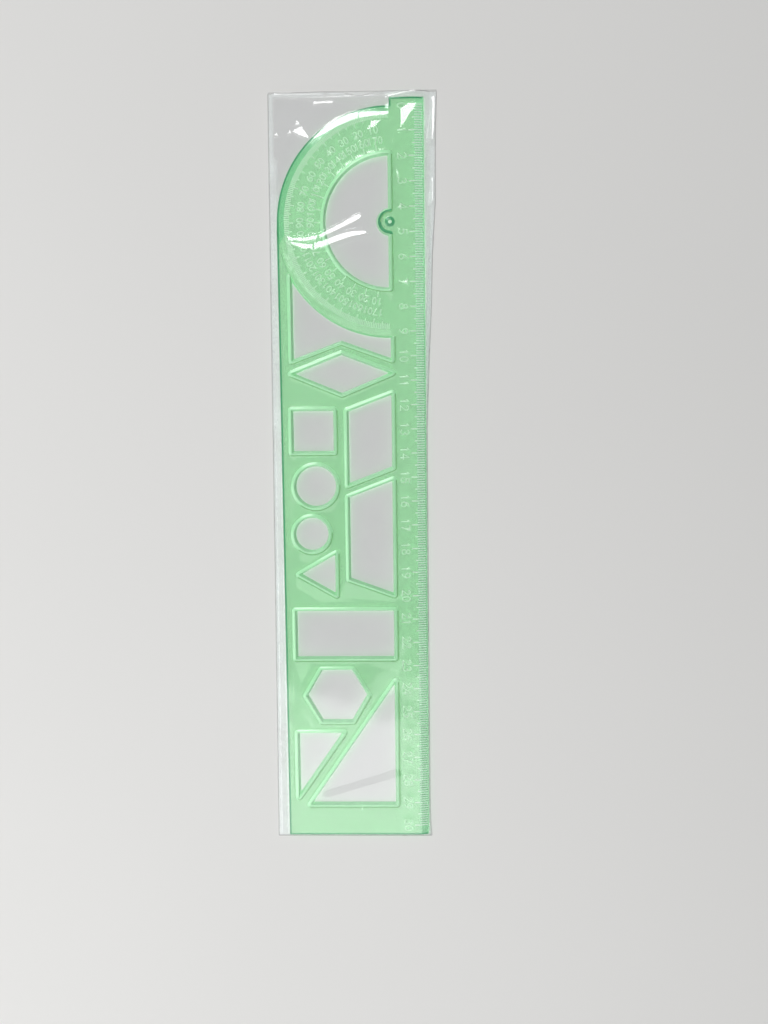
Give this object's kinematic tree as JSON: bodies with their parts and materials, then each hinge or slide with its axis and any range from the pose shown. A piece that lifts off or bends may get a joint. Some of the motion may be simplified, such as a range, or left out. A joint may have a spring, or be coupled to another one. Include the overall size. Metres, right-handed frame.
{
  "type": "protractor stencil ruler",
  "caption": "Long flat transparent drawing plate with a graduated bar, a half-round protractor at one end and stencil openings, in a loose open-mouthed clear film sleeve.",
  "frame": {"origin": "under the middle of the sleeve, on the surface that the part lies on", "axes": "+X across the plate towards the ruler bar, +Y along the scale towards the protractor end and the sleeve's mouth, +Z out of the marked face"},
  "size_m": [0.068, 0.311, 0.0049],
  "materials": {
    "green_plastic": "polished, see-through",
    "clear_film": "glossy thin film, see-through"
  },
  "bodies": {
    "template": {"template_plate": "green_plastic"},
    "sleeve": {"sleeve_back_film": "clear_film", "sleeve_front_film": "clear_film", "sleeve_left_edge": "clear_film", "sleeve_right_edge": "clear_film", "sleeve_foot_edge": "clear_film"}
  },
  "joints": [
    {"name": "sleeve_slide", "type": "slide", "parent": "template", "child": "sleeve", "axis": [0, -1, 0], "range_m": [0, 0.32]}
  ]
}
